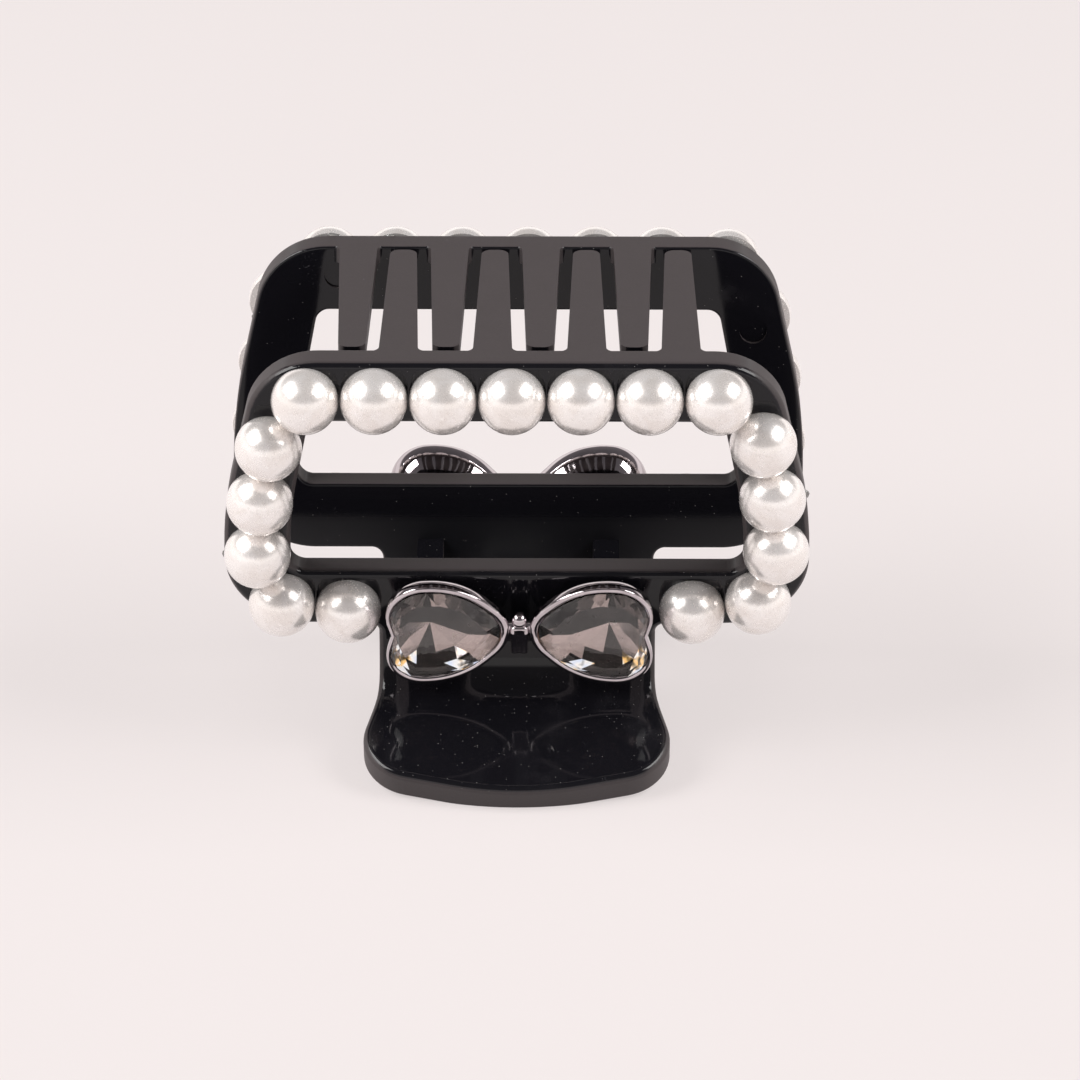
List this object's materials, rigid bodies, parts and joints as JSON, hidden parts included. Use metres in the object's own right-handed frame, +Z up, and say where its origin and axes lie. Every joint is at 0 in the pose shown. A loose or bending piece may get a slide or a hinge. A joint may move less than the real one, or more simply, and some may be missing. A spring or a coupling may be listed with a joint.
{
  "type": "hair claw clip",
  "caption": "Spring-loaded hair claw clip with two open frame jaws, interleaved flat teeth, pearl edging and a faceted bow on each jaw.",
  "frame": {"origin": "on the floor, below the middle of the hinge, with the clip standing on its two handles", "axes": "+X along the hinge pin and the clip's length, +Y from the front jaw to the back jaw, +Z up to the teeth"},
  "size_m": [0.0891, 0.0684, 0.0694],
  "materials": {
    "jaw_plastic": "polished skin, satin parting faces",
    "pearl": "pearlescent lacquer",
    "dark_chrome": "polished gunmetal plate",
    "clear_stone": "faceted and polished, pale smoke",
    "steel_wire": "bright drawn wire"
  },
  "bodies": {
    "front_jaw": {"front_jaw": "jaw_plastic", "front_pearl_01": "pearl", "front_pearl_02": "pearl", "front_pearl_03": "pearl", "front_pearl_04": "pearl", "front_pearl_05": "pearl", "front_pearl_06": "pearl", "front_pearl_07": "pearl", "front_pearl_08": "pearl", "front_pearl_09": "pearl", "front_pearl_10": "pearl", "front_pearl_11": "pearl", "front_pearl_12": "pearl", "front_pearl_13": "pearl", "front_pearl_14": "pearl", "front_pearl_15": "pearl", "front_pearl_16": "pearl", "front_pearl_17": "pearl", "front_bow_setting": "dark_chrome", "front_left_stone": "clear_stone", "front_right_stone": "clear_stone", "hinge_pin": "steel_wire", "torsion_spring": "steel_wire"},
    "back_jaw": {"back_jaw": "jaw_plastic", "back_pearl_01": "pearl", "back_pearl_02": "pearl", "back_pearl_03": "pearl", "back_pearl_04": "pearl", "back_pearl_05": "pearl", "back_pearl_06": "pearl", "back_pearl_07": "pearl", "back_pearl_08": "pearl", "back_pearl_09": "pearl", "back_pearl_10": "pearl", "back_pearl_11": "pearl", "back_pearl_12": "pearl", "back_pearl_13": "pearl", "back_pearl_14": "pearl", "back_pearl_15": "pearl", "back_pearl_16": "pearl", "back_pearl_17": "pearl", "back_bow_setting": "dark_chrome", "back_left_stone": "clear_stone", "back_right_stone": "clear_stone"}
  },
  "joints": [
    {"name": "jaw_hinge", "type": "hinge", "parent": "front_jaw", "child": "back_jaw", "pos_m": [0, 0, 0.018], "axis": [-1, 0, 0], "range_deg": [0, 88], "stiffness_Nm_per_rad": 0.08, "springref_deg": -91.67, "deforming": ["torsion_spring"]}
  ]
}
